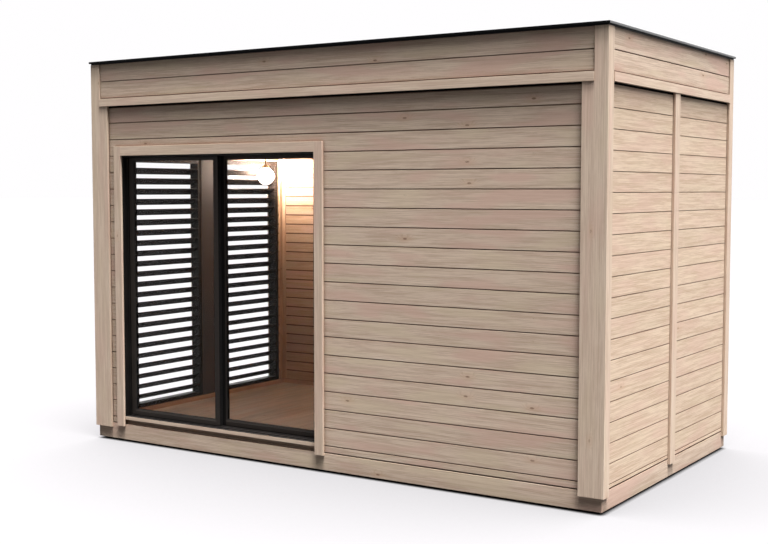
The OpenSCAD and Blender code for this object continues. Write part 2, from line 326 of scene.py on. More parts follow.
lampLook = {
    # lean: degrees from straight overhead towards the right and towards the front
    "overhead": {"lean": (2, 4), "strength": 6.6, "spread": 6},
    "overheadRight": {"lean": (9, 4), "strength": 4.5, "spread": 6},
    "softbox": {"lean": (6, 12), "strength": 2.2, "spread": 30},
    "sideHigh": {"lean": (18, 6), "strength": 2.5, "spread": 16},
    "side": {"lean": (32, 8), "strength": 2.8, "spread": 20},
    "behind": {"lean": (-38, -62), "strength": 1.8, "spread": 40},
}
for lampName, look in lampLook.items():
    lamp = bpy.data.lights.new(lampName, "SUN")
    lamp.energy, lamp.angle = look["strength"], math.radians(look["spread"])
    leanX, leanY = (math.tan(math.radians(a)) for a in look["lean"])
    addObject(lampName, lamp).rotation_euler = Vector((leanX, -leanY, 1)).to_track_quat("Z", "Y").to_euler()


def lookingRays(add):
    # 1 for the rays that look at the studio, and 0 for those that only carry its light
    path = add("LightPath")
    seen = add("Math", {0: path.outputs["Is Camera Ray"], 1: path.outputs["Is Glossy Ray"]}, "MAXIMUM")
    return add("Math", {0: seen, 1: path.outputs["Is Transmission Ray"]}, "MAXIMUM")


studioLook = {"ambient": 0.05, "paper": "#fffeff"}
world = bpy.data.worlds.new("studio")
scene.world = world
world.use_nodes = True
world.node_tree.nodes.clear()
add = nodeAdder(world.node_tree)
seen = lookingRays(add)
soft = add("Background", {"Color": linear("#ffffff"), "Strength": studioLook["ambient"]})
paper = add("Background", {"Color": linear(studioLook["paper"]), "Strength": 1.0})
add("OutputWorld", {"Surface": add("MixShader", {0: seen, 1: soft, 2: paper})})


def newMaterial(name):
    material = bpy.data.materials.new(name)
    material.use_nodes = True
    material.node_tree.nodes.clear()
    return material, nodeAdder(material.node_tree)


paperLook = {"size": 400.0, "paint": 0.02, "bounce": 0.04, "near": 0.61, "open": 0.94,
             "reach": 3.0, "contactShadeReach": 0.035, "tint": "#fffcff"}


def studioFloor():
    # pale paper whose glow is dimmed near the cabin by ambient occlusion: a painted soft shadow
    material, add = newMaterial("studioPaper")
    seen = lookingRays(add)
    aoOpenness = add("AmbientOcclusion", {"Distance": paperLook["reach"]}, samples=16).outputs["AO"]
    under = add("MapRange", {0: aoOpenness, 1: 0.12, 2: 0.42, 4: paperLook["near"]})
    away = add("MapRange", {0: aoOpenness, 1: 0.42, 2: 0.88, 4: paperLook["open"] - paperLook["near"]})
    light = add("Math", {0: under, 1: away}, "ADD")
    # painted contact shadow: a thin dark line where the base meets the paper
    contactShade = add("AmbientOcclusion", {"Distance": paperLook["contactShadeReach"]}, samples=12).outputs["AO"]
    contactShade = add("MapRange", {0: contactShade, 1: 0.55, 2: 0.98, 3: 0.2})
    light = add("Math", {0: light, 1: contactShade}, "MULTIPLY")
    lift = add("Mix", {0: seen, 2: paperLook["bounce"], 3: light})
    glow = add("Emission", {"Color": linear(paperLook["tint"]), "Strength": lift})
    paint = add("BsdfDiffuse", {"Color": [paperLook["paint"]] * 3 + [1.0]})
    add("OutputMaterial", {"Surface": add("AddShader", {0: paint, 1: glow})})
    half = paperLook["size"] / 2
    corners = (-half, -half), (half, -half), (half, half), (-half, half)
    obj = addBuilt("studio_floor", lambda s: s.faces.new([s.verts.new((x, y, 0)) for x, y in corners]))
    obj.data.materials.append(material)


studioFloor()
print("studio ready")


# ---- materials
def addSurface(add, colour, rough, relief, strength, depth, gloss):
    # a rough opaque surface with a fine relief on it
    bump = add("Bump", {"Strength": strength, "Distance": depth, "Height": relief})
    shader = add("BsdfPrincipled", {"IOR": 1.5, "Specular IOR Level": gloss, "Base Color": colour,
                                    "Roughness": rough, "Normal": bump})
    add("OutputMaterial", {"Surface": shader})


def timber(name, look, followsBoards=True):
    # planed softwood: streaks of early and late wood, fine fibres, small knots and pinkish heartwood
    material, add = newMaterial(name)
    if followsBoards:
        place = add("Attribute", attribute_name="grain").outputs["Vector"]
        tone = add("Attribute", attribute_name="tone").outputs["Fac"]
    else:
        place = add("TexCoord").outputs["Object"]
        tone = add("TexNoise", {"Scale": 0.7, "Vector": place})
    axes = add("SeparateXYZ", {0: place}).outputs
    toneShift = add("Math", {0: tone, 1: 83.0}, "MULTIPLY")  # far enough that boards share no pattern
    # a knot may sit once in each stretch of board
    stretch = add("Math", {0: axes["X"], 1: look["knotPitch"]}, "DIVIDE")
    cell = add("Math", {0: stretch}, "FLOOR")
    cellKey = add("CombineXYZ", {0: cell, 1: toneShift})
    draw = add("TexWhiteNoise", {0: cellKey}, noise_dimensions="2D")
    draws = add("SeparateColor", {0: draw.outputs["Color"]}).outputs
    inCell = add("Math", {0: stretch}, "FRACT")
    scatter, width, size = look["knotScatter"], look["width"], look["knotSize"]
    jitter = add("Math", {0: draws[0], 1: scatter, 2: 0.5 - scatter / 2}, "MULTIPLY_ADD")
    off = add("Math", {0: inCell, 1: jitter}, "SUBTRACT")
    knotX = add("Math", {0: off, 1: look["knotPitch"] * 0.42}, "MULTIPLY")  # longer than it is high
    across = add("Math", {0: draws[1], 1: -width * 0.8, 2: width * 0.4}, "MULTIPLY_ADD")
    knotY = add("Math", {0: axes["Y"], 1: across}, "ADD")
    knotPlace = add("CombineXYZ", {0: knotX, 1: knotY})
    distance = add("VectorMath", {0: knotPlace}, "LENGTH")
    present = add("Math", {0: draws[2], 1: look["knotShare"]}, "LESS_THAN")
    core = add("MapRange", {0: distance, 1: size, 2: size * 0.5, 3: 0.0, 4: 1.0}, **eased)
    core = add("Math", {0: core, 1: present}, "MULTIPLY")
    core = add("Math", {0: core, 1: look["knotDepth"]}, "MULTIPLY")
    halo = add("MapRange", {0: distance, 1: size * 5, 2: size * 0.8, 3: 0.0, 4: 1.0}, **eased)
    halo = add("Math", {0: halo, 1: present}, "MULTIPLY")
    def boardNoise(along, across, detail):
        # noise with its own counts per metre along the board and across it
        scaled = add("Mapping", {0: place, 3: (along, across, across)})
        return add("TexNoise", {"Scale": 1.0, "Detail": detail, "Vector": scaled, "W": toneShift}, noise_dimensions="4D")
    # growth rings: lines along the board that wander, arch and run round the knots
    wander = boardNoise(1.1, 7.0, 2.0)
    ring = add("Math", {0: axes["Y"], 1: 1 / look["ringPitch"]}, "MULTIPLY")
    ring = add("Math", {0: wander, 1: look["arch"], 2: ring}, "MULTIPLY_ADD")
    ring = add("Math", {0: halo, 1: 2.6, 2: ring}, "MULTIPLY_ADD")
    ring = add("Math", {0: ring}, "FRACT")
    late = add("Math", {0: ring, 1: 2.2}, "POWER")
    # fibres 14, 5 and 1.2 mm across, each layer with its share of the streaks
    layers = [boardNoise(*fibre) for fibre in ((3.0, 70.0, 2.0), (9.0, 210.0, 2.0), (30.0, 800.0, 1.0))]
    streak = 0.0
    for layer, share in zip(layers, (0.50, 0.32, 0.18)):
        streak = add("Math", {0: layer, 1: share, 2: streak}, "MULTIPLY_ADD")
    streak = add("MapRange", {0: streak, 1: 0.40, 2: 0.60}, **eased)
    streak = add("Math", {0: streak, 1: 0.62}, "MULTIPLY")
    streak = add("Math", {0: late, 1: 0.38, 2: streak}, "MULTIPLY_ADD")
    wood = add("Mix", {0: streak, 6: linear(look["light"]), 7: linear(look["dark"])}, **inColour)
    # broad patches of pinkish heartwood and yellowish sapwood
    patch = boardNoise(1.9, 9.0, 1.0)
    for tint, start, end, share in (("rosy", 0.50, 0.66, 1.0), ("sappy", 0.46, 0.32, 0.7)):
        blot = add("MapRange", {0: patch, 1: start, 2: end, 4: look["rosyShare"] * share},
                   **eased)
        wood = add("Mix", {0: blot, 6: wood, 7: linear(look[tint])}, **inColour)
    ringed = add("Math", {0: halo, 1: 0.35}, "MULTIPLY")
    for share, tint in ((ringed, "ring"), (core, "knot")):
        wood = add("Mix", {0: share, 6: wood, 7: linear(look[tint])}, **inColour)
    # painted shade: up-facing faces, the hidden backs of board joints and inner corners are mixed towards one dark
    # shade colour
    facing = add("SeparateXYZ", {0: add("NewGeometry").outputs["Normal"]})
    # painted shade on up-facing faces
    paintedShade = add("MapRange", {0: facing.outputs["Z"], 1: 0.3, 2: 0.8, 4: look["topShade"]})
    # painted shade on the backs of board joints
    if followsBoards:
        groove = add("Attribute", attribute_name="groove").outputs["Fac"]
        groove = add("Math", {0: groove, 1: look["grooveShade"]}, "MULTIPLY")
        paintedShade = add("Math", {0: paintedShade, 1: groove}, "MAXIMUM")
    # painted shade: ambient occlusion darkens inner corners, the wall under ledges and beside posts
    if look["cornerShade"]:
        corner = add("AmbientOcclusion", {"Distance": 0.12}, samples=4).outputs["AO"]
        corner = add("MapRange", {0: corner, 1: 0.98, 2: 0.5, 4: look["cornerShade"]})
        paintedShade = add("Math", {0: paintedShade, 1: corner}, "MAXIMUM")
    wood = add("Mix", {0: paintedShade, 6: wood, 7: linear(look["shadeColour"])}, **inColour)
    # boards differ a little in brightness
    level = add("MapRange", {0: tone, 3: 1.0 - look["spread"], 4: 1.0 + look["spread"]})
    wood = add("VectorMath", {0: wood, "Scale": level}, "SCALE")
    rough = add("MapRange", {0: streak, 3: look["rough"] - 0.06, 4: look["rough"] + 0.08})
    relief = add("Math", {0: layers[2], 1: 0.5, 2: layers[1]}, "MULTIPLY_ADD")
    relief = add("Math", {0: relief, 1: core}, "SUBTRACT")
    addSurface(add, wood, rough, relief, 0.35, 0.0008, 0.35)
    return material


knotPitch = 0.4557  # the moulded boards repeat their knots at this spacing
# three of these settings paint shade on up-facing faces, in board joints and in inner corners, all in one shade
# colour
claddingLook = {"light": "#dbc6b2", "dark": "#b59a86", "rosy": "#cfac9c", "sappy": "#d0bea2", "ring": "#c6a285",
                "knot": "#7d5d49", "knotDepth": 0.8, "knotPitch": knotPitch, "knotScatter": 0.04, "knotShare": 0.2,
                "knotSize": 0.008, "width": 0.12, "ringPitch": 0.011, "arch": 5.0, "rosyShare": 0.65, "spread": 0.035,
                "topShade": 0.85, "grooveShade": 0.6, "cornerShade": 0.85, "shadeColour": "#60432f", "rough": 0.66}
sideLook = dict(claddingLook, light="#ddc7b0", dark="#b99c84", knotShare=0.1, knotDepth=0.5, rosyShare=0.35,
                grooveShade=0.1, cornerShade=0.1)
trimLook = dict(claddingLook, cornerShade=0.3, light="#dac5b1", dark="#bfa591", knotPitch=1.1, knotScatter=0.9,
                knotShare=0.3, knotDepth=0.5, knotSize=0.006, ringPitch=0.014, arch=2.0, rosyShare=0.35,
                width=0.07, spread=0.02)
liningLook = dict(claddingLook, grooveShade=0.92, cornerShade=0.0, light="#d2b699", dark="#b69475", knotPitch=0.9,
                  knotScatter=0.9, width=0.08, spread=0.05)
plankLook = dict(claddingLook, cornerShade=0.0, light="#bab6ac", dark="#9d968a", rosy="#baa797", sappy="#c0b4a1",
                 ring="#9d8773", knot="#5a4030", knotPitch=1.2, knotScatter=0.9, width=0.1, spread=0.10,
                 topShade=0.0, rough=0.5)
framingLook = dict(claddingLook, cornerShade=0.0, light="#c9a97f", dark="#a98458", rosy="#b58a63", sappy="#c2a878")
treatedLook = dict(claddingLook, topShade=0.0, cornerShade=0.0, light="#3b342c", dark="#241f1a", rosy="#332a23",
                   sappy="#3a3527", ring="#2a221b", knot="#17120f", rough=0.8)
cladding = timber("planedSpruceCladding", claddingLook)
baseFinish = timber("planedSpruceBase", dict(claddingLook, cornerShade=0.3))
trim = timber("planedSpruceTrim", trimLook)
lining = timber("aspenLining", liningLook)
sideCladding = timber("planedSpruceSides", sideLook)
flooring = timber("oiledPineFloor", plankLook)
framing = timber("sawnFraming", framingLook, followsBoards=False)
treated = timber("treatedBearers", treatedLook)


def coatedMetal(name, look):
    # powder coat over aluminium: an orange-peel skin, with a little dust lying in patches;
    # rubber, cloth and brass take the same skin with settings of their own
    material, add = newMaterial(name)
    place = add("TexCoord").outputs["Object"]
    peel = add("TexNoise", {"Scale": 1 / look["peel"], "Detail": 2.0, "Vector": place})
    dust = add("TexNoise", {"Scale": 4.0, "Detail": 4.0, "Roughness": 0.6, "Vector": place})
    dusty = add("MapRange", {0: dust, 1: 0.42, 2: 0.70, 4: look["dust"]})
    colour = add("Mix", {0: dusty, 6: linear(look["paint"]), 7: linear(look["worn"])}, **inColour)
    if "paintedSheen" in look:
        # painted sheen: the upper fold on the roof's ends is paled, standing in for a reflection of the bright
        # studio; the hem set back below it keeps the dark paint
        facing = add("SeparateXYZ", {0: add("NewGeometry").outputs["Normal"]})
        height = add("SeparateXYZ", {0: place}).outputs["Z"]
        ends = add("Math", {0: facing.outputs["X"]}, "ABSOLUTE")
        ends = add("MapRange", {0: ends, 1: 0.6, 2: 0.9})
        above = add("Math", {0: height, 1: look["paintedSheenFrom"]}, "GREATER_THAN")
        film = add("Math", {0: ends, 1: above}, "MULTIPLY")
        colour = add("Mix", {0: film, 6: colour, 7: linear(look["paintedSheen"])}, **inColour)
    rough = add("MapRange", {0: dust, 1: 0.35, 2: 0.65, 3: look["rough"] - 0.05, 4: look["rough"] + 0.08})
    addSurface(add, colour, rough, peel, 0.15, 0.0002, look["gloss"])
    return material


metalLook = {"paint": "#231e1b", "worn": "#352f2b", "dust": 0.3, "peel": 0.0025, "rough": 0.5, "gloss": 0.12}
aluminium = coatedMetal("powderCoatedAluminium", metalLook)
# a darker copy of the leaves' coat for the door frame and sill plate: painted shade for the frame that sits in the
# reveal's shade
frameMetalShaded = coatedMetal("powderCoatedFrameShaded", dict(metalLook, paint="#100e0d", worn="#211d1b", gloss=0.1))
paleMetal = coatedMetal("powderCoatedCovers", dict(metalLook, paint="#4f4f50", worn="#5d5d5e"))
# near-black cloth for the vent gaps and the door's brush strip, partly real and partly painted shade where those gaps
# show only shadow
ventAndShadeCloth = coatedMetal("blackVentAndShadeCloth", {"paint": "#0b0a0a", "worn": "#161413", "dust": 0.5, "peel": 0.002,
                                           "rough": 0.95, "gloss": 0.1})
rubber = coatedMetal("blackRubber", {"paint": "#1c1b1b", "worn": "#3a3835", "dust": 0.4, "peel": 0.004,
                                     "rough": 0.85, "gloss": 0.2})
lampMetal = coatedMetal("satinBrass", {"paint": "#6e5a38", "worn": "#8a744c", "dust": 0.3, "peel": 0.002,
                                       "rough": 0.35, "gloss": 0.5})


def membrane(look):
    # torched roofing felt: crushed slate granules over bitumen, washed paler by rain in broad patches;
    # the granules are drawn larger than real ones, which would be finer than a render shows
    material, add = newMaterial("slateFelt")
    place = add("TexCoord").outputs["Object"]
    grit = add("TexVoronoi", {"Scale": 1 / look["grit"], "Vector": place})
    wash = add("TexNoise", {"Scale": 1.6, "Detail": 5.0, "Roughness": 0.62, "Vector": place})
    shade = add("MapRange", {0: wash, 1: 0.3, 2: 0.7})
    base = add("Mix", {0: shade, 6: linear(look["bitumen"]), 7: linear(look["slate"])}, **inColour)
    chips = add("Mix", {0: 0.45, 6: base, 7: grit.outputs["Color"]}, **inColour, blend_type="OVERLAY")
    grey = add("HueSaturation", {"Saturation": 0.25, "Color": chips})
    rough = add("MapRange", {0: wash, 3: 0.82, 4: 0.95})
    addSurface(add, grey, rough, grit, 0.5, 0.001, 0.5)
    return material


felt = membrane({"bitumen": "#1b1c1e", "slate": "#2b2d30", "grit": 0.006})


def windowGlass(look):
    # clear float glass with a faint film of dust
    material, add = newMaterial("clearFloatGlass")
    place = add("TexCoord").outputs["Object"]
    film = add("TexNoise", {"Scale": 2.5, "Detail": 5.0, "Roughness": 0.6, "Vector": place})
    fresnel = add("Fresnel", {"IOR": look["ior"]})
    clear = add("BsdfTransparent", {"Color": linear(look["tint"])})
    rough = add("MapRange", {0: film, 1: 0.45, 2: 0.75, 3: 0.0, 4: 0.05})
    gloss = add("BsdfAnisotropic", {"Color": linear("#ffffff"), "Roughness": rough})
    add("OutputMaterial", {"Surface": add("MixShader", {0: fresnel, 1: clear, 2: gloss})})
    return material


glass = windowGlass({"ior": 1.08, "tint": "#ffffff"})


def glowingGlass(look):
    # opal glass round a bulb that sits near its neck, so it is brightest there and denser towards its foot
    material, add = newMaterial("opalGlass")
    place = add("TexCoord").outputs["Object"]
    cloud = add("TexNoise", {"Scale": 12.0, "Detail": 2.0, "Vector": place})
    cloud = add("MapRange", {0: cloud, 3: 0.92, 4: 1.08})
    height = add("SeparateXYZ", {0: place}).outputs["Z"]
    level = add("MapRange", {0: height, 1: look["foot"], 2: look["top"], 3: look["weak"], 4: look["strong"]},
                **eased)
    level = add("Math", {0: level, 1: cloud}, "MULTIPLY")
    shader = add("BsdfPrincipled", {"Base Color": linear("#f6efe2"), "Roughness": 0.2, "IOR": 1.5,
                                    "Emission Color": linear(look["glow"]), "Emission Strength": level})
    add("OutputMaterial", {"Surface": shader})
    return material


lampLow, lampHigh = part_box("pendant_lamp")
globe = (lampHigh.x - lampLow.x) / 2
opal = glowingGlass({"glow": "#ffe9d9", "weak": 14.0, "strong": 900.0,
                     "foot": lampLow.z + globe * 0.6, "top": lampLow.z + globe * 1.4})
print("materials ready")

# ---- walls
wallLook = {"exposure": 0.1238, "frontGroove": 0.1885, "sideGroove": 0.1665, "vent": 0.010, "shortest": 0.05,
            "endGap": 0.004, "gapRise": 0.002, "gapDepth": 0.006, "overcut": 0.001,
            "liningPitch": 0.083, "liningGroove": 0.198, "clothLap": 0.006, "clothThick": 0.001}
frontBoards = {"thick": 0.020, "joint": 0.0065, "lip": 0.018, "chamfer": 0.0008, "seam": 0.0004}
endBoards = dict(frontBoards, joint=0.0042)  # the end walls' boards are pushed closer together
liningBoards = {"thick": 0.014, "joint": 0.009, "lip": 0.012, "chamfer": 0.001, "seam": 0.0004}
boardIn, liningIn = frontBoards["thick"], liningBoards["thick"]
boardTop = stripLow.z - wallLook["vent"]
reach = 0.05  # how far an opening's cutter stands out of the wall


def placed(axis, along, across, level):
    # a point on a wall or board whose length runs along axis
    return (along, across, level) if axis == 0 else (across, along, level)


def boardWall(name, axis, facing, back, length, levels, look, material):
    # levels: (bottom, height, count) groups from the ground up; back is where the boards' backs lie
    parts = []
    for i, (bottom, height, count) in enumerate(levels):
        thick, chamfer, lip = look["thick"], look["chamfer"], look["thick"] - look["lip"]
        top, seam = height - look["joint"], height - look["seam"]
        # out from the board's back to its face, with a lip that closes the joint above
        outline = [(0, 0), (thick - chamfer, 0), (thick, chamfer), (thick, top - chamfer), (thick - chamfer, top),
                   (lip, top), (lip, seam), (0, seam)]
        outline = [(facing * out, up) for out, up in outline]
        board = meshFrom("board", lambda s: addPrism(s, outline, axis, -length / 2, length / 2, 0))
        parts.append(row(f"{name}_{i}", board, material, count, placed(axis, 0.0, back, bottom), (0, 0, height)))
    return joined(name, parts)


def claddingLevels(groove):
    # the top board takes up what is left when that is too low for a board of its own
    count = int((boardTop - groove - wallLook["shortest"]) / wallLook["exposure"])
    last = groove + count * wallLook["exposure"]
    return [(baseTop, groove - baseTop, 1), (groove, wallLook["exposure"], count), (last, boardTop - last, 1)]


def endGaps(axis, back, names):
    # upright gaps in the cladding along the edges of the boards that stand on it
    gap, sign = wallLook["endGap"], math.copysign(1, back)
    depths = sorted((back - sign * wallLook["gapDepth"], back + sign * 2 * reach))
    boxes = []
    for name in names:
        low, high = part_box(name)
        for start, end in ((low[axis] - gap, low[axis]), (high[axis], high[axis] + gap)):
            boxes.append((placed(axis, start, depths[0], baseTop + wallLook["gapRise"]),
                          placed(axis, end + wallLook["overcut"], depths[1], boardTop + reach)))
    return boxes


liningPitch, liningStart = wallLook["liningPitch"], wallLook["liningGroove"]
liningCount = int((ceilingLow - liningStart) / liningPitch)
liningLast = liningStart + liningCount * liningPitch
liningLevels = [(liningStart, liningPitch, liningCount), (liningLast, ceilingLow - liningLast, 1)]
doorBox = ((doorLow.x, claddingY - reach, baseTop - reach), (doorHigh.x, innerY + reach, doorHigh.z))
windowBoxes = [((claddingX - reach, low.y, low.z), (innerX + reach, high.y, high.z)) for low, high in windows]

walls = {
    # name: axis, facing, openings, CAD nodes, boards that stand on it, seed
    "front": (0, -1, [doorBox], ("front_wall_left", "front_wall_right", "front_wall_head"),
              ("corner_front_left", "corner_front_right"), 11),
    "back": (0, 1, [], ("back_wall",), ("corner_back_left", "corner_back_right"), 21),
    "left": (1, -1, windowBoxes, ("left_wall_piers", "left_wall_head", "left_wall_sill"),
             ("corner_front_left", "side_battens", "corner_back_left"), 31),
    "right": (1, 1, [], ("right_wall",), ("corner_front_right", "side_battens", "corner_back_right"), 41),
}
for side, (axis, facing, openings, nodes, posts, seed) in walls.items():
    isFront = side == "front"
    if axis == 0:
        face, inner, outHalf, inHalf = claddingY, innerY, -claddingX, -innerX
        coreHalf, clothHalf, look = outHalf - boardIn, outHalf - boardIn, frontBoards
    else:
        face, inner, outHalf, inHalf = claddingX, innerX, -claddingY - boardIn, liningIn - innerY
        coreHalf, clothHalf, look = inHalf, outHalf, endBoards
    sign = -facing  # face and inner are the front's and left's, so the back and right take their mirror image
    outBack, inBack = (face + boardIn) * sign, (inner - liningIn) * sign
    groove = wallLook["frontGroove" if isFront else "sideGroove"]
    boards = boardWall(f"cladding_{side}", axis, facing, outBack, outHalf * 2, claddingLevels(groove), look,
                       cladding if isFront else sideCladding)
    cutOut(boards, openings + endGaps(axis, outBack, posts))
    finishPiece(boards, None, "cladding_timber", nodes, seed,
                knots=(knotPitch, 0.032) if isFront else None, grooved=True)
    a, b = sorted((outBack, inBack))
    core = addBuilt(f"core_{side}", lambda s: addBlock(s, placed(axis, -coreHalf, a, baseTop),
                                                       placed(axis, coreHalf, b, wallTop), 0))
    # black cloth behind the gap that airs the cladding; it is also painted shade, so the gap shows as a dark line
    # under the strip
    c, d = sorted((outBack, outBack + facing * wallLook["clothThick"]))
    low = placed(axis, -clothHalf, c, boardTop - wallLook["clothLap"])
    high = placed(axis, clothHalf, d, stripLow.z + wallLook["clothLap"])
    finishPiece(addBuilt(f"vent_cloth_{side}", lambda s: addBlock(s, low, high, 0)), ventAndShadeCloth, "rubber_packer")
    cutOut(core, openings)
    finishPiece(core, framing, "framing_timber")
    liner = boardWall(f"lining_{side}", axis, sign, inBack, inHalf * 2, liningLevels, liningBoards, lining)
    cutOut(liner, openings)
    finishPiece(liner, None, "cladding_timber", seed=seed + 5, grooved=True)
print("walls ready")

# ---- trim boards: each corner is a notched front board with a side board behind its edge
trimBoards = {"edge": 0.001, "baseEdge": 0.0015, "shadowGap": 0.007, "endGap": 0.004, "join": 0.0005,
              "filler": 0.004, "fasciaThick": 0.020, "fasciaJoint": (2.7230, 2.7290), "baseJoint": 0.009}
topWidth = stripLow.x - leftX
edge = trimBoards["edge"]


def cornerPost(shape, low, high):
    # the front board is on the face nearer the front or back
    facing = math.copysign(1, low.y)
    hand = math.copysign(1, low.x)
    outX, outY = leftX * -hand, frontY * -facing
    inX, inY = low.x if hand > 0 else high.x, low.y if facing > 0 else high.y
    notchX = outX - hand * topWidth
    outline = [(outX, low.z), (inX, low.z), (inX, stripLow.z), (notchX, stripLow.z), (notchX, high.z), (outX, high.z)]
    addPrism(shape, outline, 1, *sorted((outY, outY - facing * coverThick)), edge)
    a, b = sorted((outX, outX - hand * coverThick))
    c, d = sorted((outY - facing * (coverThick + trimBoards["join"]), inY))
    addBlock(shape, (a, c, low.z), (b, d, high.z), edge)


for i, node in enumerate(("corner_front_left", "corner_front_right", "corner_back_left", "corner_back_right")):
    post = addBuilt("boards_" + node, lambda s: cornerPost(s, *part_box(node)))
    finishPiece(post, trim, "trim_timber", (node,), 60 + i)


def facingPair(node, axis, thick, bevel=edge, joints=(), endGap=0.0):
    # two boards that face each other across the cabin, with dark joints (low, high) cut through their height
    low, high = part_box(node)
    filler = trimBoards["filler"]
    levels = [low.z, *[level for joint in joints for level in joint], high.z]

    def build(shape):
        for a, b, back in ((low[axis], low[axis] + thick, low[axis] + thick - filler),
                           (high[axis] - thick, high[axis], high[axis] - thick)):
            def block(starts, ends, bottom, top, inset=0.0, ease=0.0):
                addBlock(shape, placed(1 - axis, low[1 - axis] + inset, starts, bottom),
                         placed(1 - axis, high[1 - axis] - inset, ends, top), ease)
            for start, end in zip(levels[::2], levels[1::2]):
                if end - start > filler:
                    block(a, b, start, end, endGap, bevel)
            if endGap:
                block(back, back + filler, low.z, high.z)
                continue
            for start, end in joints:
                block(back, back + filler, max(low.z, start - filler), min(high.z, end + filler))
    return build


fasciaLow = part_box("fascia_front_back")[0].z
fasciaJoints = [(fasciaLow, fasciaLow + trimBoards["shadowGap"]), trimBoards["fasciaJoint"]]
base = (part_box("base_boards_sides")[0].y - claddingY, trimBoards["baseEdge"],
        [(baseTop - trimBoards["baseJoint"], baseTop)])
strip = (claddingY - stripLow.y,)
fascia = (trimBoards["fasciaThick"], edge, fasciaJoints, trimBoards["endGap"])
pairs = (
    # name, CAD node, finish, slot, axis, thickness and the rest
    ("base_front_back", "base_boards_front_back", baseFinish, "cladding_timber", 1, base),
    ("base_sides", "base_boards_sides", baseFinish, "cladding_timber", 0, base),
    ("batten_sides", "side_battens", trim, "trim_timber", 0, (coverThick,)),
    ("strip_boards_front_back", "strip_front_back", trim, "trim_timber", 1, strip),
    ("strip_boards_sides", "strip_sides", trim, "trim_timber", 0, strip),
    ("fascia_boards_front_back", "fascia_front_back", cladding, "cladding_timber", 1, fascia),
    ("fascia_boards_sides", "fascia_sides", cladding, "cladding_timber", 0, fascia),
)
for i, (name, node, finish, slot, axis, sizes) in enumerate(pairs):
    finishPiece(addBuilt(name, facingPair(node, axis, *sizes)), finish, slot, (node,), 71 + i)
for node, seed in (("door_trim_sides", 81), ("door_trim_head", 82), ("door_sill", 83)):
    finishPiece(softened("boards_" + node, node, edge), trim, "trim_timber", (node,), seed)
finishPiece(softened("boards_door_threshold", "door_threshold", edge), cladding, "cladding_timber",
            ("door_threshold",), 84)


plateLook = {"side": 0.002, "front": 0.0002, "thick": 0.0015, "edge": 0.0004}


def sillPlate(shape):
    # a thin cover plate that keeps the rain off the sill board
    low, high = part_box("door_sill")
    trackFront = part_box("door_frame_sill")[0].y
    addBlock(shape, (low.x + plateLook["side"], low.y + plateLook["front"], high.z),
             (high.x - plateLook["side"], trackFront, high.z + plateLook["thick"]), plateLook["edge"])


finishPiece(addBuilt("sill_plate", sillPlate), frameMetalShaded, "dark_aluminium")
print("trim ready")


# ---- floor, ceiling and ground supports
def planks(name, node, look, axis, material, slot, seed, faceUp):
    # boards laid edge to edge with their length along axis, face up or down
    low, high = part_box(node)
    across = 1 - axis
    count = round((high[across] - low[across]) / look["width"])
    pitch = (high[across] - low[across]) / count
    thick, length = high.z - low.z, high[axis] - low[axis]
    half, gap, step = pitch / 2, look["gap"] / 2, look["chamfer"]
    top = thick / 2 if faceUp else -thick / 2
    lip = top - math.copysign(look["lip"], top)
    ease = top - math.copysign(step, top)
    outline = [(-half, -top), (half, -top), (half, lip), (half - gap, lip), (half - gap, ease), (half - gap - step, top),
               (step + gap - half, top), (gap - half, ease), (gap - half, lip), (-half, lip)]
    board = meshFrom("plank", lambda s: addPrism(s, outline, axis, -length / 2, length / 2, 0))
    start = placed(axis, (low[axis] + high[axis]) / 2, low[across] + half, (low.z + high.z) / 2)
    obj = row(name, board, material, count, start, placed(axis, 0, pitch, 0))
    finishPiece(obj, None, slot, (node,), seed)


planks("floor_planks", "floor_boards", {"width": 0.12, "gap": 0.003, "chamfer": 0.0015, "lip": 0.006}, 1,
       flooring, "floor_timber", 91, True)
planks("ceiling_planks", "ceiling", {"width": 0.083, "gap": 0.004, "chamfer": 0.001, "lip": 0.006}, 0,
       lining, "cladding_timber", 92, False)

finishPiece(softened("bearer_timbers", "ground_bearers", 0.003), treated, "treated_timber",
            ("ground_bearers",), 93)
for node in ("floor_frame", "roof_frame"):
    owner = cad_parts[node]
    owner.data.materials.clear()
    owner.data.materials.append(framing)

packerLook = {"ribs": 8, "depth": 0.002}


def packerPads(shape):
    # one ribbed pad in the place of each loose CAD solid
    points, labels = looseParts(meshFrom("pads", lambda s: addCopy(s, "packers")))
    for label in np.unique(labels):
        low, high = points[labels == label].min(0), points[labels == label].max(0)
        pitch = (high[0] - low[0]) / packerLook["ribs"]
        base = low[2] + packerLook["depth"]
        outline = [(low[0], high[2])]
        for i in range(packerLook["ribs"]):
            for share, level in ((0.0, low[2]), (0.5, low[2]), (0.55, base), (0.95, base)):
                outline.append((low[0] + (i + share) * pitch, level))
        outline += [(high[0], base), (high[0], high[2])]
        addPrism(shape, outline, 1, low[1], high[1], 0)


finishPiece(addBuilt("packer_pads", packerPads), rubber, "rubber_packer", ("packers",))


# ---- laths in the room's corners and the skirting round it
roomLook = {"lath": 0.044, "lathThick": 0.008, "skirt": 0.012}


def roomTrim(shape):
    width, thick, skirt = roomLook["lath"], roomLook["lathThick"], roomLook["skirt"]
    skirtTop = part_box("door_sill")[1].z
    x, y = -innerX, -innerY
    outline = [(0, 0), (width, 0), (width, thick), (thick, thick), (thick, width), (0, width)]
    for sideX in (-1, 1):
        for sideY in (-1, 1):
            addPrism(shape, [(sideX * (x - a), sideY * (y - b)) for a, b in outline], 2, skirtTop, ceilingLow)
    for lowX, lowY, highX, highY in ((-x, y - skirt, x, y), (-x, skirt - y, skirt - x, y - skirt),
                                     (x - skirt, skirt - y, x, y - skirt), (doorHigh.x, -y, x, skirt - y),
                                     (-x, -y, doorLow.x, skirt - y)):
        addBlock(shape, (lowX, lowY, floorTop), (highX, highY, skirtTop))


finishPiece(addBuilt("room_trim", roomTrim), lining, "cladding_timber", seed=95)
print("floor and ceiling ready")


